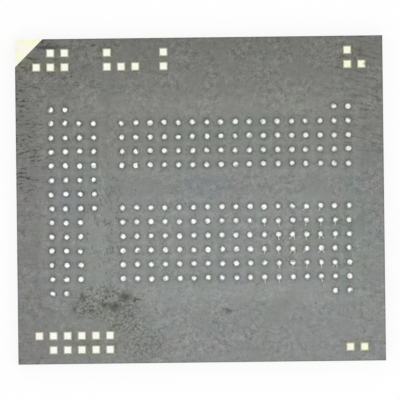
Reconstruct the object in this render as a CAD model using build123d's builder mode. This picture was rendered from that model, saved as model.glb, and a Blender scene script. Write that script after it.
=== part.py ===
from build123d import *
from math import atan2, degrees
import os

# Ball grid array memory package, lying on its mould face with the solder balls up. Millimetres.
# The origin is the centre of the mould face. +X runs along the long side, +Z points to the balls,
# and the gold corner mark is at the -X, +Y corner.

# Ball matrix: columns count from the -X side, rows from the +Y end.
ball_pitch = 0.5
matrix_columns = 22
matrix_rows = 14
side_margin = 1.25  # outer ball column to the sawn side
end_margin = 2.5  # outer ball row to the sawn end

# Banks of the matrix that carry balls.
full_columns = 2  # columns of the left bank that use every row
left_columns = 4  # columns of the left bank
short_column_rows = 7  # rows of the left bank's last column
free_columns = 1  # empty columns between the left bank and the other two
upper_rows = 4  # rows of the upper bank
free_rows = 2  # empty rows between the upper and the lower bank
corner_balls = 2  # balls on the outer rows beside each +X corner

# Solder ball, reflowed onto its land. It is drawn as a barrel with flat sides.
land_diameter = 0.26
ball_height = 0.225
crown_diameter = 0.14
ball_sides = 8

# Board, sawn to the same outline as the mould cap.
board_thickness = 0.20
mask_thickness = 0.025
plating_thickness = 0.018

# Square test pads, counted from the nearest sawn side and end.
pad_size = 0.25
pad_pitch = 0.5
pad_side_offset = 0.75  # first pad column to the sawn side
pad_end_offset = 0.5  # outer pad row to the sawn end

# Triangular mark at the A1 corner.
mark_leg = 0.98

# Mould cap and the dies that it holds. The dies hang from the board in levels.
mould_thickness = 0.56
die_thickness = 0.075
film_thickness = 0.02
stack_side_margin = 1.4  # flash stack to the sawn side
stack_end_margin = 1.55  # flash stack to the sawn end
flash_stagger = 0.8  # the upper flash die steps along +X by this
memory_setback = 0.7  # upper flash edge to memory die, along X
memory_end_setback = 0.5  # flash edge to memory die, along Y
die_gap = 0.5  # memory die to controller die
controller_length = 1.8
controller_width = 3.2
controller_setback = 0.6  # controller die to upper flash edge, along X

# Bond wires, square in section.
wire_thickness = 0.03
wire_pitch = 0.8
loop_height = 0.08  # die face to the level run of the wire
bond_inset = 0.12  # bond to the die's edge
wire_clearance = 0.15  # level run past the outermost die edge
landing_run = 0.22  # from there to the landing, along the slant's reach
flash_wire_count = 4
memory_wire_count = 4
controller_wire_count = 3

# Sizes that follow from the driving ones.
last_column = matrix_columns - 1
last_row = matrix_rows - 1
package_length = last_column * ball_pitch + 2 * side_margin
package_width = last_row * ball_pitch + 2 * end_margin
board_top = mould_thickness + board_thickness
window_floor = board_top - mask_thickness

ball_radius = (ball_height**2 + (land_diameter / 2) ** 2) / (2 * ball_height)
equator_height = ball_height - ball_radius
foot_taper = degrees(atan2(ball_radius - land_diameter / 2, equator_height))
crown_taper = degrees(atan2(ball_radius - crown_diameter / 2, ball_radius))

flash_length = package_length - 2 * stack_side_margin - flash_stagger
flash_width = package_width - 2 * stack_end_margin
lower_flash_x = -flash_stagger / 2
upper_flash_x = flash_stagger / 2
lower_flash_edge = -lower_flash_x + flash_length / 2  # distance towards -X
upper_flash_edge = -upper_flash_x + flash_length / 2  # distance towards -X
stack_right_edge = upper_flash_x + flash_length / 2
memory_length = (
    flash_length - memory_setback - die_gap - controller_length - controller_setback
)
memory_width = flash_width - 2 * memory_end_setback
memory_x = memory_setback - upper_flash_edge + memory_length / 2
controller_edge = stack_right_edge - controller_setback
controller_x = controller_edge - controller_length / 2

level_step = film_thickness + die_thickness
lower_flash_face = mould_thickness - level_step
upper_flash_face = lower_flash_face - level_step
top_die_face = upper_flash_face - level_step

os.makedirs("parts", exist_ok=True)


def write_piece(piece, name):
    """Label one finished sub-part and write it under its own name."""
    piece.label = name
    export_step(piece, f"parts/{name}.step")


def matrix_places(columns, rows):
    """X, Y of every ball place in these columns and rows of the matrix."""
    return [
        ((column - last_column / 2) * ball_pitch, (last_row / 2 - row) * ball_pitch)
        for column in columns
        for row in rows
    ]


def pad_places(side, end, outer_row, inner_row):
    """X, Y of a group of test pads beside one corner of the board.

    side and end are -1 or 1 and choose the corner. outer_row and inner_row list the pad columns,
    counted inwards from that side, that hold a pad in the row nearest the end and in the next.
    """
    columns_and_rows = [(column, 0) for column in outer_row]
    columns_and_rows += [(column, 1) for column in inner_row]
    return [
        (
            side * (package_length / 2 - pad_side_offset - column * pad_pitch),
            end * (package_width / 2 - pad_end_offset - row * pad_pitch),
        )
        for column, row in columns_and_rows
    ]


def wire_outline(foot, foot_face, knee, landing_face):
    """Side outline of a bond wire as (reach, height) points.

    The wire leaves the die face at its foot, runs level past the die's edge to the knee
    and slants back to the face that it lands on.
    """
    loop_level = foot_face - loop_height
    landing = knee + landing_run
    return [
        (foot, foot_face),
        (foot, loop_level - wire_thickness),
        (knee + wire_thickness, loop_level - wire_thickness),
        (landing + wire_thickness, landing_face),
        (landing, landing_face),
        (knee, loop_level),
        (foot + wire_thickness, loop_level),
        (foot + wire_thickness, foot_face),
    ]


def wire_row(plane, middle, count, outline):
    """A row of equal bond wires, spread along the normal of the plane of their outline."""
    with BuildPart() as row:
        for number in range(count):
            place = middle + (number - (count - 1) / 2) * wire_pitch
            with BuildSketch(plane.offset(place)):
                with BuildLine():
                    Polyline(*outline, close=True)
                make_face()
        extrude(amount=wire_thickness / 2, both=True)
    return row.part


# Places of the balls and pads, by bank and by group.
every_row = range(matrix_rows)
inner_rows = every_row[1:-1]
bank_columns = range(left_columns + free_columns, matrix_columns)
corner_columns = range(matrix_columns)[-corner_balls:]
ball_banks = {
    "solder_balls_left_bank": (
        matrix_places(range(full_columns), every_row)
        + matrix_places(range(full_columns, left_columns - 1), inner_rows)
        + matrix_places([left_columns - 1], inner_rows[:short_column_rows])
    ),
    "solder_balls_upper_bank": (
        matrix_places(bank_columns, inner_rows[:upper_rows])
        + matrix_places(corner_columns, every_row[:1])
    ),
    "solder_balls_lower_bank": (
        matrix_places(bank_columns, inner_rows[upper_rows + free_rows :])
        + matrix_places(corner_columns, every_row[-1:])
    ),
}
pad_groups = {
    "test_pads_upper_left": pad_places(-1, 1, [1, 2], [0, 1, 2]),
    "test_pads_upper_middle": pad_places(-1, 1, [5, 9], [5, 6, 7, 9]),
    "test_pads_upper_right": pad_places(1, 1, [1], [0, 1]),
    "test_pads_lower_left": pad_places(-1, -1, range(1, 6), range(6)),
    "test_pads_lower_right": pad_places(1, -1, [0, 1], []),
}
mark_corner = (-package_length / 2, package_width / 2)
mark_outline = [
    mark_corner,
    (mark_corner[0], mark_corner[1] - mark_leg),
    (mark_corner[0] + mark_leg, mark_corner[1]),
]

# Board with a window in its mask for each test pad and for the corner mark.
with BuildPart() as substrate:
    with BuildSketch(Plane.XY.offset(mould_thickness)):
        Rectangle(package_length, package_width)
    extrude(amount=board_thickness)
    with BuildSketch(Plane.XY.offset(board_top)):
        for places in pad_groups.values():
            with Locations(*places):
                Rectangle(pad_size, pad_size)
        with BuildLine():
            Polyline(*mark_outline, close=True)
        make_face()
    extrude(amount=-mask_thickness, mode=Mode.SUBTRACT)
write_piece(substrate.part, "substrate")

# Gold test pads on the floors of their windows, just below the mask's face.
for group_name, places in pad_groups.items():
    with BuildPart() as test_pads:
        with BuildSketch(Plane.XY.offset(window_floor)):
            with Locations(*places):
                Rectangle(pad_size, pad_size)
        extrude(amount=plating_thickness)
    write_piece(test_pads.part, group_name)

# Gold corner mark, open to the two sawn edges.
with BuildPart() as corner_mark:
    with BuildSketch(Plane.XY.offset(window_floor)):
        with BuildLine():
            Polyline(*mark_outline, close=True)
        make_face()
    extrude(amount=plating_thickness)
write_piece(corner_mark.part, "corner_mark")

# One solder ball: widest at the equator, drawn in to its land below and to a flat crown above.
with BuildPart() as solder_ball:
    equator_plane = Plane.XY.offset(equator_height)
    with BuildSketch(equator_plane) as equator:
        RegularPolygon(ball_radius, ball_sides, major_radius=False)
    extrude(amount=equator_height, taper=foot_taper)
    mirror(about=equator_plane, mode=Mode.REPLACE)
    extrude(equator.sketch, amount=ball_radius, taper=crown_taper)

# The three banks of balls, each ball a solid of its own.
for bank_name, places in ball_banks.items():
    with BuildPart() as bank:
        with Locations(*[(x, y, board_top) for x, y in places]):
            add(solder_ball.part)
    write_piece(bank.part, bank_name)

# Dies and the films that hold them: size, place along X and the face that the film sticks to.
dies = {
    "lower_flash": (flash_length, flash_width, lower_flash_x, mould_thickness),
    "upper_flash": (flash_length, flash_width, upper_flash_x, lower_flash_face),
    "memory": (memory_length, memory_width, memory_x, upper_flash_face),
    "controller": (controller_length, controller_width, controller_x, upper_flash_face),
}
inner_pieces = []
for die_name, (length, width, middle_x, carrier_face) in dies.items():
    with BuildPart() as attach_film:
        with BuildSketch(Plane.XY.offset(carrier_face)):
            with Locations((middle_x, 0)):
                Rectangle(length, width)
        extrude(amount=-film_thickness)
    write_piece(attach_film.part, f"{die_name}_film")
    with BuildPart() as die:
        with BuildSketch(Plane.XY.offset(carrier_face - film_thickness)):
            with Locations((middle_x, 0)):
                Rectangle(length, width)
        extrude(amount=-die_thickness)
    write_piece(die.part, f"{die_name}_die")
    inner_pieces += [attach_film.part, die.part]

# Bond wires. Those on the -X side are drawn on a plane whose reach runs towards -X.
left_plane = Plane(origin=(0, 0, 0), x_dir=(-1, 0, 0), z_dir=(0, 1, 0))
with BuildPart() as bridge_wires:
    add(
        wire_row(
            left_plane,
            0,
            flash_wire_count,
            wire_outline(
                upper_flash_edge - bond_inset,
                upper_flash_face,
                upper_flash_edge + wire_clearance,
                lower_flash_face,
            ),
        )
    )
write_piece(bridge_wires.part, "flash_bridge_wires")

with BuildPart() as flash_wires:
    add(
        wire_row(
            left_plane,
            0,
            flash_wire_count,
            wire_outline(
                lower_flash_edge - bond_inset,
                lower_flash_face,
                lower_flash_edge + wire_clearance,
                mould_thickness,
            ),
        )
    )
write_piece(flash_wires.part, "flash_board_wires")

with BuildPart() as memory_wires:
    add(
        wire_row(
            Plane.YZ,
            memory_x,
            memory_wire_count,
            wire_outline(
                memory_width / 2 - bond_inset,
                top_die_face,
                flash_width / 2 + wire_clearance,
                mould_thickness,
            ),
        )
    )
    mirror(about=Plane.XZ)
write_piece(memory_wires.part, "memory_board_wires")

with BuildPart() as controller_wires:
    add(
        wire_row(
            Plane.XZ,
            0,
            controller_wire_count,
            wire_outline(
                controller_edge - bond_inset,
                top_die_face,
                stack_right_edge + wire_clearance,
                mould_thickness,
            ),
        )
    )
write_piece(controller_wires.part, "controller_board_wires")

# Mould cap, cast round the dies, films and wires and sawn with the board.
inner_pieces += [bridge_wires.part, flash_wires.part, memory_wires.part, controller_wires.part]
with BuildPart() as mould_cap:
    with BuildSketch():
        Rectangle(package_length, package_width)
    extrude(amount=mould_thickness)
    for piece in inner_pieces:
        add(piece, mode=Mode.SUBTRACT)
write_piece(mould_cap.part, "mould_cap")
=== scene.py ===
"""Looks of a ball-grid memory package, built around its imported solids.

The package lies with its board face up. Solder balls, plated test pads and the plated corner mark
stand on a worn grey-green solder mask, and the black mould below the board rests on the floor.
Lengths are in millimetres until a mesh or lamp is made, and the scene itself is in metres.
"""

import functools
import logging
import math
from dataclasses import dataclass
from enum import Enum
from typing import Any, Iterable, Optional, Union

import bpy
import numpy as np
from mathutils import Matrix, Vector


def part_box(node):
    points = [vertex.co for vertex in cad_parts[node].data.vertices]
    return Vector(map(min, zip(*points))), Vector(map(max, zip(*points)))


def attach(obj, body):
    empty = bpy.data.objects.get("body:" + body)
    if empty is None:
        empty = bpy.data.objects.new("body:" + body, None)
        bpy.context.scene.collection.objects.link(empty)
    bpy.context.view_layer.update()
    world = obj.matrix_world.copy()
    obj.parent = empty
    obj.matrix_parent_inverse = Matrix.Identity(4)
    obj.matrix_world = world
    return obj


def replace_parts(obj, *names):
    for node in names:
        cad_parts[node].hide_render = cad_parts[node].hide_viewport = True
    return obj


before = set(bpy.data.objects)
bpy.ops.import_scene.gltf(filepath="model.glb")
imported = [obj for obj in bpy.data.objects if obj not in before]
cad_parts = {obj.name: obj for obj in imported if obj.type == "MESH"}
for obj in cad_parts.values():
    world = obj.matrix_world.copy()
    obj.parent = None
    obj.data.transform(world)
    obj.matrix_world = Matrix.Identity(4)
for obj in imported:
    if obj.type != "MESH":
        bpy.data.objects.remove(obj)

log = logging.getLogger("ball_grid_package")

MM = 0.001
BODY = "root"
SEED = 221
SEED_SHIFT = 400
GRID_PITCH = 0.5
IMAGE_SIDE = 400
LAYER_SHIFT = (37.1, 11.7, 5.3)
WHITE = (1.0, 1.0, 1.0, 1.0)

Colour = tuple[float, float, float, float]
Point = tuple[float, float, float]
Span = tuple[float, float]
Patch = tuple[Span, Span, float]
Face = tuple[int, ...]
Place = tuple[int, int]


class Bank(Enum):
    """The three banks of solder balls, by their nodes."""

    LEFT = "solder_balls_left_bank"
    UPPER = "solder_balls_upper_bank"
    LOWER = "solder_balls_lower_bank"


class PadGroup(Enum):
    """The five groups of test pads, by their nodes."""

    UPPER_LEFT = "test_pads_upper_left"
    UPPER_MIDDLE = "test_pads_upper_middle"
    UPPER_RIGHT = "test_pads_upper_right"
    LOWER_LEFT = "test_pads_lower_left"
    LOWER_RIGHT = "test_pads_lower_right"


def tone(red: int, green: int, blue: int) -> Colour:
    """Turn a display colour into the linear one that a shader takes.

    Args:
        red: Red, from 0 to 255.
        green: Green, from 0 to 255.
        blue: Blue, from 0 to 255.

    Returns:
        The linear colour with full alpha.
    """
    display = np.array([red, green, blue]) / 255.0
    bent = ((display + 0.055) / 1.055) ** 2.4
    linear = np.where(display <= 0.04045, display / 12.92, bent)
    return (*(float(part) for part in linear), 1.0)


class Term:
    """One output socket of a shader, used as a value in Python expressions."""

    def __init__(self, graph: "Graph", socket: bpy.types.NodeSocket) -> None:
        """Hold the socket and the graph that it belongs to."""
        self.graph = graph
        self.socket = socket

    def out(self, name: str) -> "Term":
        """Return another output of the same node."""
        return Term(self.graph, self.socket.node.outputs[name])

    def _join(self, operation: str, first: Any, second: Any) -> "Term":
        """Add the node that joins two operands.

        Args:
            operation: The operation's name, the same for values and vectors.
            first: A term, a number or three numbers.
            second: A term, a number or three numbers.

        Returns:
            The result, a vector where either operand is a vector or a colour.
        """
        kinds = {part.socket.type for part in (first, second) if isinstance(part, Term)}
        wide = kinds != {"VALUE"} or isinstance(first, tuple) or isinstance(second, tuple)
        kind = "ShaderNodeVectorMath" if wide else "ShaderNodeMath"
        return self.graph.node(kind, {"operation": operation}, {0: first, 1: second})

    def __add__(self, other: Any) -> "Term":
        """Add."""
        return self._join("ADD", self, other)

    def __radd__(self, other: Any) -> "Term":
        """Add to a number."""
        return self._join("ADD", other, self)

    def __sub__(self, other: Any) -> "Term":
        """Subtract."""
        return self._join("SUBTRACT", self, other)

    def __rsub__(self, other: Any) -> "Term":
        """Subtract from a number."""
        return self._join("SUBTRACT", other, self)

    def __mul__(self, other: Any) -> "Term":
        """Multiply."""
        return self._join("MULTIPLY", self, other)

    def __rmul__(self, other: Any) -> "Term":
        """Multiply a number."""
        return self._join("MULTIPLY", other, self)

    def __truediv__(self, other: Any) -> "Term":
        """Divide."""
        return self._join("DIVIDE", self, other)

    def __rtruediv__(self, other: Any) -> "Term":
        """Divide a number."""
        return self._join("DIVIDE", other, self)

    def __abs__(self) -> "Term":
        """Drop the sign."""
        return self._join("ABSOLUTE", self, 0.0)

    def least(self, other: Any) -> "Term":
        """Keep the smaller of two."""
        return self._join("MINIMUM", self, other)

    def most(self, other: Any) -> "Term":
        """Keep the larger of two."""
        return self._join("MAXIMUM", self, other)


def largest(terms: Iterable[Term]) -> Term:
    """Return the largest of several terms."""
    return functools.reduce(Term.most, terms)


class Graph:
    """A node tree while it is written."""

    def __init__(self, tree: bpy.types.NodeTree) -> None:
        """Start with an empty tree.

        Args:
            tree: The node tree, which is cleared.
        """
        self.tree = tree
        self.layers = 0
        tree.nodes.clear()

    def node(
        self,
        kind: str,
        settings: Optional[dict[str, Any]] = None,
        sockets: Optional[dict[Union[str, int], Any]] = None,
        output: Union[str, int] = 0,
    ) -> Term:
        """Add one node.

        Args:
            kind: The node's type.
            settings: Its properties, set before its sockets.
            sockets: Values or terms for its inputs, by name or number.
            output: The output to return.

        Returns:
            The chosen output as a term.
        """
        made = self.tree.nodes.new(kind)
        for name, value in (settings or {}).items():
            setattr(made, name, value)
        for key, value in (sockets or {}).items():
            socket = made.inputs[key]
            if isinstance(value, Term):
                self.tree.links.new(value.socket, socket)
            elif socket.type == "VECTOR" and not isinstance(value, tuple):
                socket.default_value = (value, value, value)
            else:
                socket.default_value = value
        return Term(self, made.outputs[output] if made.outputs else None)

    def noise(self, place: Term, size: Union[float, Point], detail: float = 2.0) -> Term:
        """Add a noise layer that differs from every other layer of the graph.

        Args:
            place: The point, in millimetres.
            size: The size of its patches, in millimetres, or one size for each axis.
            detail: How many finer layers are added to it.

        Returns:
            The noise, around one half.
        """
        self.layers += 1
        sizes = size if isinstance(size, tuple) else (size, size, size)
        shift = tuple(part * self.layers for part in LAYER_SHIFT)
        point = (place + shift) * tuple(1.0 / part for part in sizes)
        return self.node("ShaderNodeTexNoise", None, {"Vector": point, "Scale": 1.0, "Detail": detail})

    def rise(self, value: Term, low: float, high: float) -> Term:
        """Return 0 below low and 1 above high, with a smooth rise between."""
        smooth = {"interpolation_type": "SMOOTHSTEP", "clamp": True}
        return self.node("ShaderNodeMapRange", smooth, {0: value, 1: low, 2: high, 3: 0.0, 4: 1.0})

    def blend(self, factor: Term, first: Any, second: Any) -> Term:
        """Return the first colour where the factor is 0 and the second where it is 1."""
        colours = {"data_type": "RGBA"}
        return self.node("ShaderNodeMix", colours, {0: factor, 6: first, 7: second}, output=2)

    def length(self, vector: Term) -> Term:
        """Return a vector's length."""
        return self.node("ShaderNodeVectorMath", {"operation": "LENGTH"}, {0: vector}, output="Value")


class Surface(Graph):
    """The shader of one material, with its place on the object in millimetres."""

    def __init__(self, name: str) -> None:
        """Start the material.

        Args:
            name: The material's name.
        """
        self.material = bpy.data.materials.new(name)
        self.material.use_nodes = True
        super().__init__(self.material.node_tree)
        self.place = self.node("ShaderNodeTexCoord", output="Object") * (1.0 / MM)
        split = self.node("ShaderNodeSeparateXYZ", None, {0: self.place})
        self.x, self.y, self.z = (split.out(axis) for axis in "XYZ")

    def patch(self, centre: Span, reach: Span, place: Term, core: float = 0.45) -> Term:
        """Return 1 in the middle of an oval patch of the board, falling to 0 at its edge.

        Args:
            centre: The patch's middle, in millimetres.
            reach: Its half width and half depth.
            place: The point, which may be disturbed for a ragged edge.
            core: The share of its reach over which the patch is full.

        Returns:
            The weight of the patch.
        """
        scaled = (place - (*centre, 0.0)) * (1.0 / reach[0], 1.0 / reach[1], 0.0)
        return 1.0 - self.rise(self.length(scaled), core, 1.0)

    def near_box(self, node: str, reach: float) -> Term:
        """Return 1 on the ground that a node covers, falling to 0 at a distance.

        Args:
            node: The node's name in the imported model.
            reach: The distance, in millimetres.

        Returns:
            The weight of the ground round the node.
        """
        low, high = (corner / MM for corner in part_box(node))
        centre, half = (low + high) / 2.0, (high - low) / 2.0
        outside = abs(self.place - (centre.x, centre.y, 0.0)) - (half.x, half.y, 0.0)
        flat = outside.most((0.0, 0.0, 0.0)) * (1.0, 1.0, 0.0)
        return 1.0 - self.rise(self.length(flat), 0.0, reach)

    def turned(self, place: Term, degrees: float) -> Term:
        """Return a place turned round the upright axis."""
        sockets = {"Vector": place, "Angle": math.radians(degrees)}
        return self.node("ShaderNodeVectorRotate", {"rotation_type": "Z_AXIS"}, sockets)

    def bump(self, height: Term, depth: float) -> Term:
        """Return the normal of a surface that rises with a term.

        Args:
            height: The relief, from 0 to 1.
            depth: How far the relief rises, in millimetres.

        Returns:
            The bent normal.
        """
        relief = {"Height": height, "Distance": depth * MM, "Strength": 1.0}
        return self.node("ShaderNodeBump", None, relief, output="Normal")

    def dress(
        self, colour: Term, roughness: Term, normal: Term, metallic: float = 0.0, specular: float = 0.5
    ) -> bpy.types.Material:
        """Close the material with its shader.

        Args:
            colour: The base colour.
            roughness: The roughness.
            normal: The bent normal.
            metallic: 1 for a metal.
            specular: The strength of the sheen.

        Returns:
            The finished material.
        """
        sockets = {"Base Color": colour, "Roughness": roughness, "Normal": normal}
        sockets |= {"Metallic": metallic, "Specular IOR Level": specular}
        shader = self.node("ShaderNodeBsdfPrincipled", None, sockets)
        self.node("ShaderNodeOutputMaterial", None, {"Surface": shader})
        return self.material


@dataclass(frozen=True)
class MaskFinish:
    """The board: worn solder mask on its face, with painted light and shade in its colour, and the sawn
    laminate on its sides.

    A patch of the face has a middle, a half width and depth, and a weight, with lengths in millimetres.
    The casts add a colour, and the coarser and lighter patches the share of their reach that is full.
    """

    name: str = "solder_mask_board"
    thinned: bool = False
    thin: Colour = tone(204, 205, 178)
    thin_reach: Span = (0.122, 0.163)
    # The upper tone is darker and the lower tone lighter: a painted light gradient, besides the difference
    # in hue.
    warm_shaded: Colour = tone(125, 126, 121)
    cool_lit: Colour = tone(137, 140, 138)
    green: Colour = tone(116, 134, 122)
    mauve: Colour = tone(136, 127, 132)
    olive: Colour = tone(112, 110, 74)
    slate: Colour = tone(118, 128, 142)
    soil: Colour = tone(56, 57, 47)
    core: Colour = tone(128, 122, 86)
    fibre: Colour = tone(168, 164, 132)
    copper: Colour = tone(176, 112, 74)
    mask_side: Colour = tone(58, 70, 58)
    soiled: tuple[Patch, ...] = (
        ((-3.45, -3.60), (1.55, 0.85), 1.0),
        ((-2.65, -4.25), (1.00, 0.80), 0.85),
        ((-2.15, -5.10), (1.15, 0.80), 0.70),
    )
    stains: tuple[Patch, ...] = (
        ((-2.71, -3.39), (0.42, 0.36), 1.0),
        ((-3.42, -3.66), (0.26, 0.14), 1.0),
        ((-3.10, -3.74), (0.40, 0.30), 1.0),
        ((-4.20, -3.38), (0.18, 0.26), 1.0),
        ((-4.50, -3.80), (0.08, 0.22), 1.0),
        ((-2.28, -3.50), (0.22, 0.09), 1.0),
        ((0.97, -3.92), (0.32, 0.16), 0.8),
        ((1.95, -3.60), (0.60, 0.12), 0.25),
        ((-5.35, 5.46), (0.95, 0.13), 1.0),
        ((-4.20, -5.05), (0.95, 0.12), 0.22),
        ((6.22, 3.18), (0.12, 0.08), 0.45),
        ((5.86, 2.42), (0.40, 0.08), 0.35),
        ((6.20, 1.93), (0.30, 0.07), 0.45),
        ((4.90, -2.39), (0.55, 0.11), 0.32),
        ((5.12, -1.86), (0.28, 0.34), 0.20),
        ((4.95, -1.02), (0.36, 0.18), 0.22),
    )
    casts: tuple[tuple[Patch, Colour], ...] = (
        (((3.4, -1.3), (1.7, 1.3), 0.14), olive),
        (((1.6, 2.3), (3.8, 0.9), 0.20), green),
        (((0.2, 0.5), (2.6, 0.6), 0.18), slate),
        (((5.4, -1.6), (1.0, 2.8), 0.20), green),
        (((-4.7, 0.2), (0.9, 1.7), 0.14), slate),
        (((-0.3, -5.1), (3.4, 0.8), 0.20), mauve),
    )
    coarser: tuple[tuple[Patch, float], ...] = (
        (((4.3, -4.2), (2.4, 1.8), -0.25), 0.3),
        (((0.6, -4.3), (2.4, 1.3), 0.30), 0.4),
    )
    lighter: tuple[tuple[Patch, float], ...] = (
        (((1.6, -3.3), (5.0, 1.0), 0.015), 0.1),
        (((5.9, 0.1), (1.7, 2.6), -0.06), 0.2),
    )
    scratched: tuple[Patch, ...] = (((5.6, 3.2), (1.3, 2.4), 1.0), ((2.3, -4.7), (3.4, 0.9), 1.0))
    gap: Patch = ((-3.35, -0.8), (1.1, 2.6), 0.105)
    # Painted light: how much the mask round each bank of balls is lightened, offsetting the shade that the
    # balls cast on it.
    banks: tuple[tuple[Bank, float], ...] = ((Bank.LEFT, 0.135), (Bank.UPPER, 0.130), (Bank.LOWER, 0.100))
    bank_reach: float = 0.42
    pad_nodes: tuple[str, ...] = (*(group.value for group in PadGroup), "corner_mark")
    pad_reach: float = 0.30
    left_edge: Span = (-6.1, -4.9)
    left_end: Span = (-0.9, 1.0)
    right_edge: Span = (4.4, 5.6)
    upper_end: Span = (1.2, 4.6)
    # Painted shade: the spans over which the mask darkens towards the left edge and towards the top.
    shaded_left_edge: Span = (-6.6, -3.0)
    shaded_upper_end: Span = (3.6, 6.0)
    # Painted light: the span over which the mask turns from the darker upper tone to the lighter lower tone.
    lit_lower_end: Span = (-0.8, 3.0)
    fray: float = 0.30
    fine_size: float = 0.075
    mottle_size: float = 0.19
    drift_size: float = 0.8
    hue_size: float = 0.85
    cast_size: float = 0.80
    dash_size: Point = (0.25, 0.075, 1.0)
    gate_size: Point = (0.6, 0.34, 1.0)
    upright_size: Point = (0.10, 1.3, 1.0)
    rub_size: Point = (0.62, 0.07, 1.0)
    rub_lean: float = 18.0
    speck_size: Point = (0.095, 0.085, 1.0)
    cluster_size: Point = (0.42, 0.17, 1.0)
    cluster_lean: float = -32.0
    stray_size: Point = (0.085, 0.17, 1.0)
    scratch_size: Point = (2.6, 0.8, 1.0)
    scratch_count: float = 9.0
    cloth_size: Point = (0.20, 0.20, 0.016)
    cut_size: Point = (0.16, 0.16, 4.0)
    saw_size: Point = (0.02, 0.02, 0.6)
    relief: float = 0.004

    def material(self) -> bpy.types.Material:
        """Return the board's material."""
        s = Surface(self.name)
        low, high = (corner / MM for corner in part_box("substrate"))
        coarse = {"Vector": s.place, "Scale": 6.0, "Detail": 2.0}
        stray = s.node("ShaderNodeTexNoise", None, coarse, output="Color")
        ragged = s.place + (stray - (0.5, 0.5, 0.5)) * self.fray
        fine = s.noise(s.place, self.fine_size, 2.0)
        mottle = s.noise(s.place, self.mottle_size, 3.0)
        drift = s.noise(s.place, self.drift_size, 2.0)
        shade = self._shade(s, ragged, fine, mottle, drift)
        ground = largest(s.patch(centre, reach, ragged) * weight for centre, reach, weight in self.soiled)
        soil, rough, pale = self._soil(s, ragged, mottle, ground)
        wear = self._wear(s, high)
        # The shade and the tint carry painted light and painted shade besides the mask's own mottling and
        # soil.
        face = self._tint(s, drift, ground) * (shade - wear + pale)
        face = s.blend(soil, face, self.soil)
        if self.thinned:
            face = s.blend(self._thinning(s), face, self.thin)
        side, level = self._side(s, low, high)
        turned = s.node("ShaderNodeNewGeometry", output="Normal")
        upward = s.node("ShaderNodeSeparateXYZ", None, {0: turned}, output="Z")
        top = s.rise(abs(upward), 0.4, 0.6)
        relief = mottle * 0.6 + fine * 0.3 + rough * 0.7 - wear * 1.5
        colour = s.blend(top, side, face)
        normal = s.bump(relief * top + level * (1.0 - top), self.relief)
        return s.dress(colour, 0.44 + 0.24 * mottle + 0.2 * soil, normal, specular=0.32)

    def _shade(self, s: Surface, ragged: Term, fine: Term, mottle: Term, drift: Term) -> Term:
        """Work out how light or dark the mask is, from its mottling, its brushed streaks, painted light
        between the balls and painted shade towards the top and left edges.

        Args:
            s: The board's surface.
            ragged: The place, disturbed.
            fine: The finest noise.
            mottle: The noise of small patches.
            drift: The noise of wide patches.

        Returns:
            The shade, around 1.
        """
        left = (1.0 - s.rise(s.x, *self.left_edge)) * (0.24 + 0.82 * s.rise(s.y, *self.left_end))
        upper = s.rise(s.y, *self.upper_end)
        right = s.rise(s.x, *self.right_edge)
        rough = 0.92 + 0.20 * upper
        for (centre, reach, weight), core in self.coarser:
            rough = rough + s.patch(centre, reach, s.place, core) * weight
        rough = (0.35 + 0.75 * s.rise(drift, 0.36, 0.60)) * rough
        shade = 1.0 + (mottle - 0.5) * rough * 0.90 + (fine - 0.5) * rough * 0.84 + (drift - 0.5) * 0.16
        # Painted light between the balls and painted shade towards the top and left edges.
        shade = shade + self._painted_light_and_shade(s)
        dashes = s.rise(s.noise(s.place * 0.55 + ragged * 0.45, self.dash_size, 2.0), 0.46, 0.70)
        dashes = dashes * s.rise(s.noise(s.place, self.gate_size, 1.0), 0.36, 0.58)
        brushed = left.most(upper * (1.0 - s.rise(s.x, -5.0, -1.0)) * 0.48) + 0.10
        shade = shade - dashes * brushed * 0.58
        leaning = s.turned(s.place, self.rub_lean)
        rubs = s.rise(s.noise(leaning * 0.75 + ragged * 0.25, self.rub_size, 2.0), 0.50, 0.68)
        shade = shade - rubs * right * (0.08 + 0.19 * s.rise(s.y, 0.5, 2.5))
        upright = s.noise(s.place, self.upright_size, 2.0)
        return shade + (upright - 0.5) * right * 0.22

    def _painted_light_and_shade(self, s: Surface) -> Term:
        """Work out the painted light and shade of the mask: painted light between the balls, painted shade
        towards the top and left edges, and listed patches that are lighter or darker.

        Args:
            s: The board's surface.

        Returns:
            What this adds to the shade.
        """
        # Painted light: the mask round the balls is lightened against their shadow.
        added = largest(s.near_box(bank.value, self.bank_reach) * gain for bank, gain in self.banks)
        for (centre, reach, weight), core in self.lighter:
            added = added + s.patch(centre, reach, s.place, core) * weight
        # Painted shade: darker towards the top and the left edge, part of a brightness gradient that is
        # lighter to the lower right.
        painted_shade_top = s.rise(s.y, *self.shaded_upper_end)
        painted_shade_left = (1.0 - s.rise(s.x, *self.shaded_left_edge)) * (1.0 - painted_shade_top)
        painted_shade_left = painted_shade_left * (0.06 + 0.035 * s.rise(s.y, -1.5, 2.0))
        return added - painted_shade_top * 0.16 - painted_shade_left

    def _thinning(self, s: Surface) -> Term:
        """Work out where the mask thins out over the plating, round a pad's window.

        Args:
            s: The rims' surface.

        Returns:
            How much the plating shines through.
        """
        cell = s.node("ShaderNodeVectorMath", {"operation": "FRACTION"}, {0: s.place * (1.0 / GRID_PITCH)})
        split = s.node("ShaderNodeSeparateXYZ", None, {0: abs(cell - (0.5, 0.5, 0.5)) * GRID_PITCH})
        away = split.out("X").most(split.out("Y"))
        return 1.0 - s.rise(away, *self.thin_reach)

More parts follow.
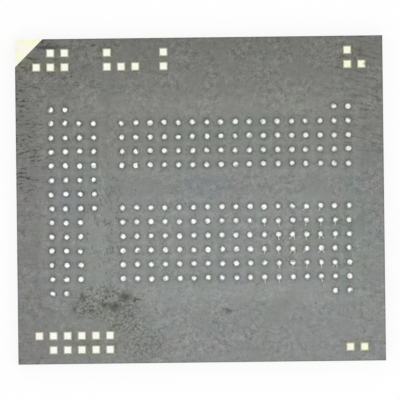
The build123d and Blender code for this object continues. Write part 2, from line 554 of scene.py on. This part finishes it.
    def _tint(self, s: Surface, drift: Term, ground: Term) -> Term:
        """Work out the clean mask's colour: more yellow and darker at the upper end and at the left, bluer
        and lighter below and to the right, the lightness a painted light gradient.

        Args:
            s: The board's surface.
            drift: The noise of wide patches.
            ground: Where the mask is soiled.

        Returns:
            The colour.
        """
        lower = 1.0 - s.rise(s.y, *self.lit_lower_end)
        inner = 0.50 + 0.50 * s.rise(s.x, -6.6, -0.8)
        varied = (0.30 + 0.70 * lower) * (0.30 + 0.70 * s.rise(s.y, -4.6, -3.2))
        hue = s.noise(s.place, self.hue_size, 1.0)
        cast = s.noise(s.place, self.cast_size, 1.0)
        tints = [
            (s.rise(hue, 0.52, 0.72) * varied * 0.20, self.green),
            ((1.0 - s.rise(hue, 0.30, 0.48)) * varied * 0.18, self.mauve),
            (s.rise(cast, 0.50, 0.68) * varied * 0.09, self.olive),
            ((1.0 - s.rise(cast, 0.34, 0.52)) * varied * 0.10, self.slate),
            ((1.0 - s.rise(s.x, -6.4, -4.6)) * 0.15, self.mauve),
            (ground * 0.10, self.olive),
        ]
        for (centre, reach, weight), shown in self.casts:
            held = s.patch(centre, reach, s.place, core=0.2) * (0.4 + 1.2 * s.rise(hue, 0.35, 0.65))
            tints.append((held * weight, shown))
        for node in self.pad_nodes:
            stained = s.near_box(node, self.pad_reach) * s.rise(drift, 0.35, 0.70) * 0.42
            tints.append((stained, self.olive))
        # Painted light gradient: lighter below and to the right.
        colour = s.blend(lower * inner, self.warm_shaded, self.cool_lit)
        for weight, shown in tints:
            colour = s.blend(weight, colour, shown)
        return colour

    def _soil(self, s: Surface, ragged: Term, mottle: Term, ground: Term) -> tuple[Term, Term, Term]:
        """Work out the soiled ground and the dark stains.

        Args:
            s: The board's surface.
            ragged: The place, disturbed, for ragged edges.
            mottle: The noise of small patches.
            ground: Where the mask is soiled.

        Returns:
            How much the soil covers the mask, its rough relief, and the pale crumbs in it.
        """
        speckle = s.noise(ragged * 0.4 + s.place * 0.6, self.speck_size, 3.0)
        cluster = s.noise(s.turned(ragged, self.cluster_lean), self.cluster_size, 2.0)
        specks = s.rise(speckle + (cluster - 0.5) * 0.30, 0.48, 0.66)
        crumbs = 1.0 - s.rise(speckle, 0.32, 0.44)
        soil = ground * (specks * 0.58 + 0.09)
        for centre, reach, weight in self.stains:
            soil = soil.most(s.patch(centre, reach, ragged, core=0.0) * (0.50 + 0.60 * mottle) * weight)
        centre, reach, weight = self.gap
        dotted = s.noise(s.place, self.stray_size, 1.0) + s.patch(centre, reach, ragged) * weight
        strays = s.rise(dotted, 0.69, 0.77) * 0.38
        return soil.most(strays), specks * ground, crumbs * ground * 0.40

    def _wear(self, s: Surface, high: Vector) -> Term:
        """Work out fine scratches and a darker band along the board's rim.

        Args:
            s: The board's surface.
            high: The board's highest corner, in millimetres.

        Returns:
            How much darker the mask is there.
        """
        bend = s.noise(s.place, self.scratch_size, 0.5) * self.scratch_count
        offset = abs(bend - s.node("ShaderNodeMath", {"operation": "ROUND"}, {0: bend}))
        line = 1.0 - s.rise(offset, 0.0, 0.07)
        broken = s.rise(s.noise(s.place, 0.45, 1.0), 0.48, 0.62)
        where = largest(s.patch(centre, reach, s.place) * weight for centre, reach, weight in self.scratched)
        inset = (high.x - abs(s.x)).least(high.y - abs(s.y))
        frayed = inset + (s.noise(s.place, 0.18, 2.0) - 0.5) * 0.10
        rim = 1.0 - s.rise(frayed, 0.0, 0.07)
        return line * broken * where * 0.25 + rim * 0.20

    def _side(self, s: Surface, low: Vector, high: Vector) -> tuple[Term, Term]:
        """Work out the sawn sides: mask, copper and glass cloth in resin.

        Args:
            s: The board's surface.
            low: The board's lowest corner, in millimetres.
            high: Its highest corner.

        Returns:
            The side's colour and relief.
        """
        height = (s.z - low.z) / (high.z - low.z)
        cloth = s.noise(s.place, self.cloth_size, 1.0)
        colour = s.blend(s.rise(cloth, 0.46, 0.62) * 0.55, self.core, self.fibre)
        cut = s.rise(s.noise(s.place, self.cut_size, 0.0), 0.56, 0.58)
        foil = 1.0 - s.rise(abs(abs(height - 0.5) - 0.36), 0.025, 0.035)
        colour = s.blend(foil * cut, colour, self.copper)
        mask = s.rise(abs(height - 0.5), 0.385, 0.40)
        saw = s.noise(s.place, self.saw_size, 2.0)
        return s.blend(mask, colour, self.mask_side) * (0.75 + 0.5 * saw), saw * 0.6 + cloth * 0.3


@dataclass(frozen=True)
class GoldFinish:
    """Nickel and gold plating on a pad, bright and slightly soiled."""

    name: str = "gold_plating"
    gold: Colour = tone(244, 245, 234)
    tarnish: Colour = tone(240, 241, 210)
    blush: Colour = tone(246, 241, 231)
    bare: Colour = tone(186, 186, 140)
    nicks: tuple[tuple[Span, Span], ...] = ()

    def material(self) -> bpy.types.Material:
        """Return the plating's material."""
        s = Surface(self.name)
        stain = s.noise(s.place, 0.22, 2.0)
        each = s.noise(s.place, 0.42, 0.0)
        grain = s.noise(s.place, 0.02, 2.0)
        colour = s.blend(s.rise(each, 0.52, 0.72), self.gold, self.blush)
        colour = s.blend(s.rise(stain, 0.50, 0.75) * 0.6, colour, self.tarnish)
        for centre, reach in self.nicks:
            colour = s.blend(s.patch(centre, reach, s.place + (grain - 0.5) * 0.03), colour, self.bare)
        return s.dress(colour, 0.26 + 0.16 * stain, s.bump(grain + stain, 0.0012), metallic=1.0)


@dataclass(frozen=True)
class SolderFinish:
    """Tin-silver solder: bright, with frosty patches where it froze last and painted shade darkening its
    flanks.
    """

    bright: Colour = tone(251, 252, 252)
    frosty: Colour = tone(234, 236, 236)
    aged: Colour = tone(234, 236, 233)
    film: Colour = tone(150, 146, 132)
    # Painted shade: a dark colour for the ball flanks that stands in for their dark reflection and contact
    # shadow.
    flank_shade: Colour = tone(96, 95, 89)
    bank_reach: float = 0.2
    skirt: Span = (0.0, 0.05)
    collar: Span = (0.12, 0.205)

    def material(self) -> bpy.types.Material:
        """Return the solder's material."""
        s = Surface("solder")
        frost = s.noise(s.place, 0.11, 2.0)
        wave = s.noise(s.place, 0.085, 1.0)
        grain = s.noise(s.place, 0.012, 2.0)
        patchy = s.rise(s.noise(s.place, 0.17, 1.0), 0.38, 0.62)
        dull = s.rise(frost, 0.46, 0.66)
        left, upper, lower = (s.near_box(bank.value, self.bank_reach) for bank in Bank)
        older = upper * (0.22 + 0.45 * s.rise(s.x, -2.0, 4.0)) + lower * 0.20
        held = left * 0.95 + upper * 0.85 + lower * (0.35 + 0.45 * s.rise(s.x, 4.2, 4.9))
        height = s.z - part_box("substrate")[1].z / MM
        foot = 1.0 - s.rise(height, *self.skirt)
        flank = 1.0 - s.rise(height, *self.collar)
        colour = s.blend(dull, self.bright, self.frosty)
        colour = s.blend(older, colour, self.aged)
        # Painted shade on the flanks, in patches and more on some banks.
        colour = s.blend(flank * patchy * held, colour, self.flank_shade)
        colour = s.blend(foot * 0.7, colour, self.film)
        rough = 0.30 + 0.14 * dull + 0.12 * older + 0.2 * foot + 0.25 * flank * (1.0 - patchy)
        return s.dress(colour, rough, s.bump(wave * 0.8 + grain * 0.12, 0.003), metallic=1.0)


@dataclass(frozen=True)
class FluxFinish:
    """Dried flux: pale, waxy and slightly clouded."""

    pale: Colour = tone(228, 229, 226)
    amber: Colour = tone(196, 195, 186)

    def material(self) -> bpy.types.Material:
        """Return the flux's material."""
        s = Surface("dried_flux")
        cloud = s.noise(s.place, 0.05, 2.0)
        colour = s.blend(s.rise(cloud, 0.40, 0.70), self.pale, self.amber)
        return s.dress(colour, 0.35 + 0.2 * cloud, s.bump(cloud, 0.003))


@dataclass(frozen=True)
class MouldFinish:
    """Black moulding compound, filled with pale silica and sawn at the sides."""

    black: Colour = tone(34, 34, 36)
    grey: Colour = tone(58, 58, 60)
    silica: Colour = tone(112, 112, 112)

    def material(self) -> bpy.types.Material:
        """Return the moulding compound's material."""
        s = Surface("mould_compound")
        cloud = s.noise(s.place, 0.35, 3.0)
        saw = s.noise(s.place, (0.03, 0.03, 1.4), 2.0)
        grit = s.node("ShaderNodeTexVoronoi", None, {"Vector": s.place, "Scale": 34.0}, output="Distance")
        filler = 1.0 - s.rise(grit, 0.10, 0.22)
        colour = s.blend(cloud * 0.5 + saw * 0.4, self.black, self.grey)
        colour = s.blend(filler * 0.5, colour, self.silica)
        normal = s.bump(saw * 0.7 + filler * 0.5 + cloud * 0.3, 0.004)
        return s.dress(colour, 0.50 + 0.25 * cloud, normal, specular=0.4)


@dataclass(frozen=True)
class SiliconFinish:
    """A thinned die: grey silicon with the faint lines of its grinding."""

    name: str = "silicon"
    pale: Colour = tone(104, 108, 118)
    deep: Colour = tone(72, 76, 88)

    def material(self) -> bpy.types.Material:
        """Return the die's material."""
        s = Surface(self.name)
        lines = s.noise(s.place, (2.0, 0.05, 0.5), 2.0)
        cloud = s.noise(s.place, 1.1, 1.0)
        colour = s.blend(lines * 0.5 + cloud * 0.5, self.deep, self.pale)
        return s.dress(colour, 0.20 + 0.2 * lines, s.bump(lines, 0.001), metallic=0.55)


@dataclass(frozen=True)
class FilmFinish:
    """Die-attach film: dull amber resin with small voids."""

    resin: Colour = tone(150, 116, 66)
    void: Colour = tone(108, 82, 48)

    def material(self) -> bpy.types.Material:
        """Return the film's material."""
        s = Surface("attach_film")
        cloud = s.noise(s.place, 0.5, 2.0)
        voids = s.rise(s.noise(s.place, 0.12, 1.0), 0.62, 0.70)
        colour = s.blend(voids * 0.7 + cloud * 0.3, self.resin, self.void)
        return s.dress(colour, 0.45 + 0.2 * cloud, s.bump(cloud - voids, 0.002))


@dataclass(frozen=True)
class WireFinish:
    """Drawn gold bond wire with faint draw lines."""

    gold: Colour = tone(242, 206, 120)
    shadow: Colour = tone(214, 168, 84)

    def material(self) -> bpy.types.Material:
        """Return the wire's material."""
        s = Surface("bond_wire")
        drawn = s.noise(s.place, (0.3, 0.012, 0.012), 2.0)
        colour = s.blend(drawn, self.shadow, self.gold)
        return s.dress(colour, 0.2 + 0.15 * drawn, s.bump(drawn, 0.0008), metallic=1.0)


@dataclass(frozen=True)
class FloorFinish:
    """A plain white sheet that stays white in the picture and keeps the shadow on it."""

    paper: Colour = tone(254, 254, 254)
    glow: float = 0.88

    def material(self) -> bpy.types.Material:
        """Return the floor's material."""
        s = Surface("white_sheet")
        fibre = s.noise(s.place, 0.6, 2.0)
        paper = self.paper[:3]
        matt = {"Color": (0.985 + 0.03 * fibre) * paper, "Roughness": 0.5}
        sheet = s.node("ShaderNodeBsdfDiffuse", None, matt)
        light = s.node("ShaderNodeEmission", None, {"Color": WHITE, "Strength": 1.0})
        path = s.node("ShaderNodeLightPath", output="Is Camera Ray")
        seen = path.most(path.out("Is Glossy Ray")).most(path.out("Is Transmission Ray"))
        shader = s.node("ShaderNodeMixShader", None, {0: seen * self.glow, 1: sheet, 2: light})
        s.node("ShaderNodeOutputMaterial", None, {"Surface": shader})
        return s.material


def placed(name: str, data: bpy.types.ID) -> bpy.types.Object:
    """Return a new object of the scene that shows a mesh, a lamp or a camera."""
    made = bpy.data.objects.new(name, data)
    bpy.context.scene.collection.objects.link(made)
    return made


class Mesher:
    """Vertices and faces of one piece while it is built, in millimetres."""

    def __init__(self) -> None:
        """Start with nothing."""
        self.points: list[Point] = []
        self.faces: list[Face] = []

    def ring(self, points: np.ndarray) -> range:
        """Add a row of points.

        Args:
            points: The points, one row each.

        Returns:
            The points' numbers.
        """
        start = len(self.points)
        self.points.extend(tuple(float(part) for part in point) for point in points)
        return range(start, len(self.points))

    def bridge(self, first: range, second: range) -> None:
        """Join two closed rows of the same count with quads.

        Args:
            first: The lower row, or the one on the left.
            second: The next row.
        """
        count = len(first)
        for step in range(count):
            after = (step + 1) % count
            self.faces.append((first[step], first[after], second[after], second[step]))

    def stack(self, outlines: list[np.ndarray]) -> list[range]:
        """Add closed rows of points and join each to the next.

        Args:
            outlines: The rows, of the same count.

        Returns:
            The rows' numbers.
        """
        rows = [self.ring(outline) for outline in outlines]
        for first, second in zip(rows, rows[1:]):
            self.bridge(first, second)
        return rows

    def fan(self, centre: int, row: range) -> None:
        """Close a row with triangles round one point.

        Args:
            centre: The number of the point in the middle.
            row: The row, in the order in which its faces look outward.
        """
        count = len(row)
        for step in range(count):
            self.faces.append((centre, row[step], row[(step + 1) % count]))

    def piece(self, name: str, material: bpy.types.Material) -> bpy.types.Object:
        """Make the piece and let it ride on the body.

        Args:
            name: The piece's name.
            material: The finish.

        Returns:
            The new object, at the origin, with smooth faces.
        """
        mesh = bpy.data.meshes.new(name)
        mesh.from_pydata([tuple(part * MM for part in point) for point in self.points], [], self.faces)
        mesh.validate()
        mesh.shade_smooth()
        mesh.materials.append(material)
        made = placed(name, mesh)
        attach(made, BODY)
        log.info("%s: %d faces", name, len(self.faces))
        return made


def lattice(node: str) -> list[Place]:
    """Find the places of the grid that a node's solids stand on.

    Args:
        node: The node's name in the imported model.

    Returns:
        Whole-number places, from the lower left; a place's middle is half a pitch further.
    """
    points = [vertex.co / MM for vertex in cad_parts[node].data.vertices]
    return sorted({(math.floor(p.x / GRID_PITCH), math.floor(p.y / GRID_PITCH)) for p in points})


def middle(place: Place) -> Span:
    """Return the middle of a place of the grid, in millimetres."""
    return (place[0] + 0.5) * GRID_PITCH, (place[1] + 0.5) * GRID_PITCH


def draws(place: Place, *keys: int) -> np.random.Generator:
    """Return the random draws that belong to a place of the grid and to further keys."""
    return np.random.default_rng([SEED, *(key + SEED_SHIFT for key in (*place, *keys))])


@dataclass
class BallForm:
    """The form of one reflowed ball: round on its land, with dents, sometimes a flat, and a slight lean."""

    place: Place
    floor: float
    height: float
    land_radius: float = 0.13
    tuck: float = 0.13
    dent_count: tuple[int, int] = (2, 6)
    dent_tilt: Span = (0.25, 1.55)
    dent_depth: Span = (0.02, 0.13)
    dent_width: Span = (0.38, 0.72)
    flat_share: float = 0.35
    most_flat: float = 0.05
    flat_give: float = 0.2
    lean: float = 0.013

    def __post_init__(self) -> None:
        """Draw the dents, the flat and the lean that this ball has."""
        draw = draws(self.place)
        self.radius = (self.land_radius**2 + self.height**2) / (2.0 * self.height)
        self.foot = math.pi - math.acos((self.radius - self.height) / self.radius)
        self.centre = middle(self.place)
        self.dents = [self._dent(draw) for _ in range(int(draw.integers(*self.dent_count)))]
        self.flat = draw.uniform(0.0, self.most_flat) if draw.random() < self.flat_share else 0.0
        self.sway = draw.normal(0.0, self.lean, 2)

    def _dent(self, draw: np.random.Generator) -> tuple[np.ndarray, float, float]:
        """Draw one dent.

        Args:
            draw: The ball's own random draws.

        Returns:
            The dent's direction, its depth as a share of the radius, and its width in radians.
        """
        turn, tilt = draw.uniform(0.0, 2.0 * math.pi), draw.uniform(*self.dent_tilt)
        way = np.array([math.sin(tilt) * math.cos(turn), math.sin(tilt) * math.sin(turn), math.cos(tilt)])
        return way, draw.uniform(*self.dent_depth), draw.uniform(*self.dent_width)

    def surface(self, tilt: np.ndarray, turn: np.ndarray) -> np.ndarray:
        """Find points of the ball's surface.

        Args:
            tilt: Angles from straight up, in radians.
            turn: Angles round the ball, in radians, of a shape that goes with the tilts.

        Returns:
            The points, in millimetres, along a last axis of three.
        """
        ways = np.stack(
            [np.sin(tilt) * np.cos(turn), np.sin(tilt) * np.sin(turn), np.cos(tilt) + 0.0 * turn], axis=-1
        )
        grown = np.ones(ways.shape[:-1])
        for way, depth, width in self.dents:
            angle = np.arccos(np.clip(ways @ way, -1.0, 1.0))
            grown -= depth * np.exp(-((angle / width) ** 2))
        points = ways * (self.radius * grown)[..., None]
        under = np.clip(-points[..., 2] / (self.height - self.radius), 0.0, 1.0)
        points[..., :2] *= (1.0 - self.tuck * under**2)[..., None]
        rise = np.clip(points[..., 2] + self.height - self.radius, 0.0, None)
        cap = self.height * (1.0 - self.flat)
        rise = np.where(rise > cap, cap + (rise - cap) * self.flat_give, rise)
        moved = self.sway * ((rise / self.height) ** 2)[..., None]
        flat = np.array(self.centre) + points[..., :2] + moved
        return np.concatenate([flat, self.floor + rise[..., None]], axis=-1)


@dataclass
class BallBank:
    """One bank of reflowed solder balls."""

    bank: Bank
    rings: int = 13
    sides: int = 26

    def build(self, material: bpy.types.Material) -> bpy.types.Object:
        """Build the bank and let it stand for its node.

        Args:
            material: The solder's finish.

        Returns:
            The new piece.
        """
        low, high = (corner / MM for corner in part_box(self.bank.value))
        mesher = Mesher()
        for place in lattice(self.bank.value):
            self._ball(mesher, BallForm(place, low.z, high.z - low.z))
        made = mesher.piece("reflowed_" + self.bank.value, material)
        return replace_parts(made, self.bank.value)

    def _ball(self, mesher: Mesher, form: BallForm) -> None:
        """Add one ball.

        Args:
            mesher: The piece that it goes into.
            form: The ball's form.
        """
        tilt = np.linspace(0.0, form.foot, self.rings + 1)[1:, None]
        turn = np.linspace(0.0, 2.0 * math.pi, self.sides, endpoint=False)[None, :]
        body = form.surface(tilt, turn)
        body[-1, :, 2] = form.floor
        top = mesher.ring(form.surface(np.zeros(1), np.zeros(1)))[0]
        rows = [mesher.ring(row) for row in body]
        mesher.fan(top, rows[0])
        for upper, lower in zip(rows, rows[1:]):
            mesher.bridge(lower, upper)
        base = mesher.ring(np.array([[*form.centre, form.floor]]))[0]
        mesher.fan(base, rows[-1][::-1])


@dataclass
class FluxTails:
    """Pale runs of dried flux that come down the sides of some balls and a little way over the mask."""

    start_tilt: float = 26.0
    end: float = 0.196
    half_width: float = 0.027
    top_width: float = 0.9
    thickness: float = 0.0075
    sink: float = 0.012
    foot_bow: float = 0.55
    least_tip: float = 0.01
    most_bend: float = 10.0
    steps: int = 24
    across: int = 9
    first_column: int = -11
    first_row: int = 6
    side_steps: int = 12
    foot_steps: int = 7
    foot_start: float = 8.0
    end_range: Span = (0.94, 1.05)
    width_range: Span = (0.8, 1.15)
    lift_range: Span = (0.8, 1.2)
    bluntness: int = 8
    least_end: float = 0.02
    runs: tuple[tuple[int, tuple[Place, ...]], ...] = (
        (7, ((18, -35), (19, -22))),
        (8, ((15, 0), (16, 4), (18, -18), (19, 0), (20, 5))),
        (9, ((16, 0), (17, -32), (17, 26), (18, -12), (19, -26), (19, 30), (20, 0))),
        (10, ((15, 0), (16, -4), (17, -38), (17, 34), (18, -40), (19, -24), (19, 32))),
        (11, ((16, 3), (17, 0), (18, -5), (19, 0), (20, -20), (20, 24))),
        (12, ((15, 0), (16, 0), (19, 4))),
    )

    def build(self, material: bpy.types.Material) -> bpy.types.Object:
        """Build all runs as one piece.

        Args:
            material: The flux's finish.

        Returns:
            The new piece.
        """
        low, high = (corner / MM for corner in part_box(Bank.LOWER.value))
        mesher = Mesher()
        for row, runs in self.runs:
            for column, turn in runs:
                place = (column + self.first_column, self.first_row - row)
                self._run(mesher, BallForm(place, low.z, high.z - low.z), turn)
        return mesher.piece("dried_flux_tails", material)

    def _course(self, form: BallForm, heading: float, end: float) -> np.ndarray:
        """Return the line that a run follows: down the ball's side, round its foot and over the mask.

        Args:
            form: The ball's form.
            heading: The direction in which it runs, in radians round the ball.
            end: The distance from the ball's middle at which it ends.

        Returns:
            Evenly spaced points: the distance from the ball's middle and the height above the mask.
        """
        tilt = np.radians(np.linspace(self.start_tilt, 90.0, self.side_steps))
        skin = form.surface(tilt, np.full(len(tilt), heading))
        way = np.array([math.cos(heading), math.sin(heading)])
        side = np.column_stack([(skin[:, :2] - form.centre) @ way, skin[:, 2] - form.floor])
        turn = np.radians(np.linspace(self.foot_start, 90.0, self.foot_steps))
        bow = self.foot_bow * side[-1, 1]
        hub = side[-1, 0] + bow
        foot = np.column_stack([hub - bow * np.cos(turn), bow - bow * np.sin(turn)])
        tip = np.array([[max(end, hub + self.least_tip), 0.0]])
        line = np.vstack([side, foot, tip])
        run = np.concatenate([[0.0], np.cumsum(np.linalg.norm(np.diff(line, axis=0), axis=1))])
        even = np.linspace(0.0, run[-1], self.steps)
        return np.column_stack([np.interp(even, run, line[:, part]) for part in range(2)])

    def _run(self, mesher: Mesher, form: BallForm, turn: int) -> None:
        """Add one run.

        Args:
            mesher: The piece that it goes into.
            form: The form of the ball that it comes down.
            turn: The direction in which it runs, in degrees from straight down the board.
        """
        draw = draws(form.place, turn)
        heading = math.radians(turn - 90.0)
        course = self._course(form, heading, self.end * draw.uniform(*self.end_range))
        along = np.gradient(course, axis=0)
        along /= np.linalg.norm(along, axis=1)[:, None]
        full = self.half_width * draw.uniform(*self.width_range)
        bend = math.radians(draw.uniform(-self.most_bend, self.most_bend))
        spread = np.linspace(-1.0, 1.0, self.across)
        arch = np.sqrt(np.clip(1.0 - spread**2, 0.0, None))
        rows = []
        for share, (out, level), (run_out, run_up) in zip(np.linspace(0.0, 1.0, self.steps), course, along):
            ends = math.sqrt(max(1.0 - (2.0 * share - 1.0) ** self.bluntness, self.least_end))
            width = full * ends * (self.top_width + (1.0 - self.top_width) * math.sin(share * math.pi / 2.0))
            lift = self.thickness * ends * draw.uniform(*self.lift_range) * arch - self.sink * (1.0 - arch)
            reach = out - run_up * lift
            height = form.floor + np.clip(level + run_out * lift, 0.0, None)
            angle = heading + bend * share**2 + width / out * spread
            x = form.centre[0] + reach * np.cos(angle)
            y = form.centre[1] + reach * np.sin(angle)
            rows.append(mesher.ring(np.column_stack([x, y, height])))
        for first, second in zip(rows, rows[1:]):
            mesher.bridge(second, first)
        mesher.faces.append(tuple(rows[0]))
        mesher.faces.append(tuple(rows[-1][::-1]))


def rounded_square(half: float, corner: float, centre: Span, level: float, steps: int = 6) -> np.ndarray:
    """Return the outline of a level square with rounded corners.

    Args:
        half: Half the square's side.
        corner: The radius of its corners.
        centre: The square's middle.
        level: The height at which it lies.
        steps: The points on each corner.

    Returns:
        Points round the square, one row each.
    """
    turns = np.linspace(0.0, math.pi / 2.0, steps)
    inner = (half - corner) * math.sqrt(2.0)
    found = []
    for quarter in range(4):
        turn = quarter * math.pi / 2.0
        hub = inner * np.array([math.cos(turn + math.pi / 4.0), math.sin(turn + math.pi / 4.0)])
        found.append(hub + corner * np.column_stack([np.cos(turns + turn), np.sin(turns + turn)]))
    flat = np.vstack(found) + np.array(centre)
    return np.column_stack([flat, np.full(len(flat), level)])


@dataclass
class PadField:
    """One group of plated pads, each a square with rounded corners in its mask window."""

    group: PadGroup
    half_side: float = 0.125
    corner: float = 0.030
    edge: float = 0.008
    dome: float = 0.002
    side_range: Span = (0.99, 1.0)
    corner_range: Span = (0.7, 1.3)

    def build(self, material: bpy.types.Material) -> bpy.types.Object:
        """Build the group and let it stand for its node.

        Args:
            material: The plating's finish.

        Returns:
            The new piece.
        """
        low, high = (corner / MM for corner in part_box(self.group.value))
        mesher = Mesher()
        for place in lattice(self.group.value):
            self._pad(mesher, place, low.z, high.z)
        made = mesher.piece("plated_" + self.group.value, material)
        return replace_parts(made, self.group.value)

    def _pad(self, mesher: Mesher, place: Place, floor: float, top: float) -> None:
        """Add one pad.

        Args:
            mesher: The piece that it goes into.
            place: Its place on the grid.
            floor: The level of the window's floor.
            top: The level of the plating's face.
        """
        draw = draws(place)
        half = self.half_side * draw.uniform(*self.side_range)
        corner = self.corner * draw.uniform(*self.corner_range)
        centre = middle(place)
        face = top - self.dome
        levels = [
            (half, corner, floor),
            (half, corner, face - self.edge),
            (half - 0.3 * self.edge, corner, face - 0.3 * self.edge),
            (half - self.edge, corner - 0.5 * self.edge, face),
            (0.55 * half, 0.6 * corner, top - 0.3 * self.dome),
        ]
        outlines = [rounded_square(size, rounding, centre, level) for size, rounding, level in levels]
        rows = mesher.stack(outlines)
        crown = mesher.ring(np.array([[*centre, top]]))[0]
        mesher.fan(crown, rows[-1])
        base = mesher.ring(np.array([[*centre, floor]]))[0]
        mesher.fan(base, rows[0][::-1])


@dataclass
class WindowRims:
    """The mask's low rims round the windows of the pads, where it runs out over the plating."""

    half_side: float = 0.1245
    corner: float = 0.024
    width: float = 0.046
    height: float = 0.003
    root: float = 0.002

    def build(self, material: bpy.types.Material) -> bpy.types.Object:
        """Build all rims as one piece.

        Args:
            material: The thinned mask's finish.

        Returns:
            The new piece.
        """
        mesher = Mesher()
        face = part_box("substrate")[1].z / MM
        for group in PadGroup:
            for place in lattice(group.value):
                self._rim(mesher, middle(place), face)
        return mesher.piece("mask_window_rims", material)

    def _rim(self, mesher: Mesher, centre: Span, face: float) -> None:
        """Add the rim of one window.

        Args:
            mesher: The piece that it goes into.
            centre: The window's middle.
            face: The level of the mask's face.
        """
        profile = [
            (self.width, -self.root),
            (self.width, 0.1 * self.height),
            (0.45 * self.width, 0.8 * self.height),
            (0.14 * self.width, self.height),
            (0.0, 0.4 * self.height),
            (0.0, -self.root),
        ]
        outlines = []
        for out, level in profile:
            outlines.append(rounded_square(self.half_side + out, self.corner + out, centre, face + level))
        rows = mesher.stack(outlines)
        mesher.bridge(rows[-1], rows[0])


@dataclass
class Package:
    """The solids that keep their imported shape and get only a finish."""

    dies: tuple[str, ...] = ("lower_flash_die", "upper_flash_die", "memory_die", "controller_die")
    films: tuple[str, ...] = ("lower_flash_film", "upper_flash_film", "memory_film", "controller_film")
    wires: tuple[str, ...] = (
        "flash_bridge_wires",
        "flash_board_wires",
        "memory_board_wires",
        "controller_board_wires",
    )

    def dress(self, gold: bpy.types.Material) -> None:
        """Give each solid its finish.

        Args:
            gold: The plating's finish, for the corner mark.
        """
        finishes = [
            (("substrate",), MaskFinish().material()),
            (("corner_mark",), gold),
            (("mould_cap",), MouldFinish().material()),
            (self.dies, SiliconFinish().material()),
            (self.films, FilmFinish().material()),
            (self.wires, WireFinish().material()),
        ]
        for nodes, material in finishes:
            for node in nodes:
                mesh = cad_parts[node].data
                mesh.materials.clear()
                mesh.materials.append(material)
                log.info("%s: dressed with %s", node, material.name)


@dataclass
class Studio:
    """The floor, the soft overhead light and the camera above the board."""

    floor_radius: float = 3000.0
    floor_gap: float = 0.004
    floor_sides: int = 96
    dome: Colour = WHITE
    dim: Colour = (0.055, 0.055, 0.055, 1.0)
    dome_strength: float = 1.06
    dome_low: float = 0.22
    dome_high: float = 0.67
    key_place: Point = (4.0, -6.0, 36.0)
    key_size: float = 24.0
    key_power: float = 0.0018
    lens: float = 400.0
    sensor: float = 36.0
    pixels_per_mm: float = 28.28
    picture_turn: float = 0.68
    grid_pixel: Span = (200.37, 199.97)
    clip: Span = (1.0, 10000.0)

    def build(self) -> None:
        """Build the floor, the light and the camera."""
        self._floor()
        self._world()
        self._key()
        self._camera()

    def _floor(self) -> None:
        """Lay the white sheet just under the mould."""
        turn = np.linspace(0.0, 2.0 * math.pi, self.floor_sides, endpoint=False)
        rim = self.floor_radius * MM * np.column_stack([np.cos(turn), np.sin(turn)])
        mesh = bpy.data.meshes.new("white_sheet")
        points = [(float(x), float(y), -self.floor_gap * MM) for x, y in rim]
        mesh.from_pydata(points, [], [tuple(range(self.floor_sides))])
        mesh.materials.append(FloorFinish().material())
        made = placed("white_sheet", mesh)
        log.info("white_sheet: radius %.0f mm", self.floor_radius)

    def _world(self) -> None:
        """Light the object from a wide soft dome that falls off towards the horizon."""
        world = bpy.data.worlds.new("soft_dome")
        world.use_nodes = True
        graph = Graph(world.node_tree)
        way = graph.node("ShaderNodeTexCoord", output="Generated")
        up = graph.node("ShaderNodeSeparateXYZ", None, {0: way}, output="Z")
        sky = graph.blend(graph.rise(up, self.dome_low, self.dome_high), self.dim, self.dome)
        light = graph.node("ShaderNodeBackground", None, {"Color": sky, "Strength": self.dome_strength})
        graph.node("ShaderNodeOutputWorld", None, {"Surface": light})
        bpy.context.scene.world = world

    def _key(self) -> None:
        """Add a soft lamp over the lower right corner."""
        lamp = bpy.data.lights.new("soft_key", "AREA")
        lamp.shape = "DISK"
        lamp.size = self.key_size * MM
        lamp.energy = self.key_power
        made = placed("soft_key", lamp)
        made.location = tuple(part * MM for part in self.key_place)
        made.rotation_euler = made.location.to_track_quat("Z", "Y").to_euler()
        made.visible_camera = False
        made.visible_glossy = False

    def _camera(self) -> None:
        """Place the camera straight above the board, at the scale of the photograph."""
        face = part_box("substrate")[1].z / MM
        width = IMAGE_SIDE / self.pixels_per_mm
        away = width * self.lens / self.sensor
        half = IMAGE_SIDE / 2.0
        shift = [(pixel - half) / self.pixels_per_mm for pixel in self.grid_pixel]
        data = bpy.data.cameras.new("overhead_camera")
        data.lens = self.lens
        data.sensor_width = self.sensor
        data.clip_start, data.clip_end = (edge * MM for edge in self.clip)
        made = placed("overhead_camera", data)
        made.location = (-shift[0] * MM, shift[1] * MM, (face + away) * MM)
        made.rotation_euler = (0.0, 0.0, math.radians(-self.picture_turn))
        bpy.context.scene.camera = made


def main() -> None:
    """Build every piece in order."""
    logging.basicConfig(level=logging.INFO, format="%(name)s: %(message)s")
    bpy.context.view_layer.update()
    gold = GoldFinish().material()
    warm_gold = GoldFinish(
        "gold_plating_warm",
        gold=tone(243, 245, 220),
        tarnish=tone(239, 239, 190),
        nicks=(((5.862, 4.752), (0.075, 0.055)),),
    ).material()
    pale_gold = GoldFinish(
        "gold_plating_pale", gold=tone(245, 246, 240), tarnish=tone(242, 243, 228)
    ).material()
    solder = SolderFinish().material()
    Package().dress(warm_gold)
    for bank in Bank:
        BallBank(bank).build(solder)
    FluxTails().build(FluxFinish().material())
    plating = {
        PadGroup.UPPER_LEFT: gold,
        PadGroup.UPPER_MIDDLE: gold,
        PadGroup.UPPER_RIGHT: warm_gold,
        PadGroup.LOWER_LEFT: pale_gold,
        PadGroup.LOWER_RIGHT: warm_gold,
    }
    for group in PadGroup:
        PadField(group).build(plating[group])
    WindowRims().build(MaskFinish("solder_mask_rims", thinned=True).material())
    Studio().build()
    bpy.context.scene.view_settings.view_transform = "Standard"


if __name__ == "__main__":
    main()
